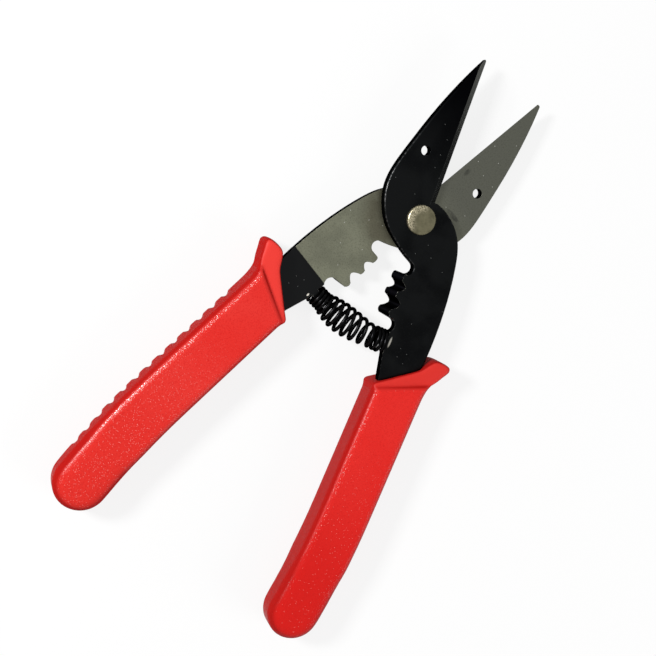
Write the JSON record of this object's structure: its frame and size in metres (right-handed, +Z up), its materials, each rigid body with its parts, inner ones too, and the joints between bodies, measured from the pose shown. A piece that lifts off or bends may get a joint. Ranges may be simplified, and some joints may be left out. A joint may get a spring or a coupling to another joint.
{
  "type": "electrician scissors",
  "caption": "Spring-loaded electrician scissors with riveted pointed blades, scalloped stripping jaw, barrel return spring and red moulded grips with finger guards.",
  "frame": {"origin": "centre of the bounding box at table level, with the tool lying flat and open as pictured", "axes": "+X towards the right grip, +Y towards the blade tips, +Z up, along the pivot"},
  "size_m": [0.0878, 0.1661, 0.0116],
  "materials": {
    "black_steel": "satin black finish, ground grey on the shear faces and bevels",
    "rivet_steel": "worn, slightly yellowed plating",
    "spring_steel": "glossy black",
    "red_grip": "fine grained satin"
  },
  "bodies": {
    "front_half": {"front_blade": "black_steel", "right_grip": "red_grip", "pivot_rivet": "rivet_steel", "return_spring": "spring_steel"},
    "rear_half": {"rear_blade": "black_steel", "left_grip": "red_grip"}
  },
  "joints": [
    {"name": "blade_pivot", "type": "hinge", "parent": "front_half", "child": "rear_half", "pos_m": [0, 0.03629, 0.0058], "axis": [0, 0, 1], "range_deg": [0, 24], "stiffness_Nm_per_rad": 2, "deforming": ["return_spring"]}
  ]
}
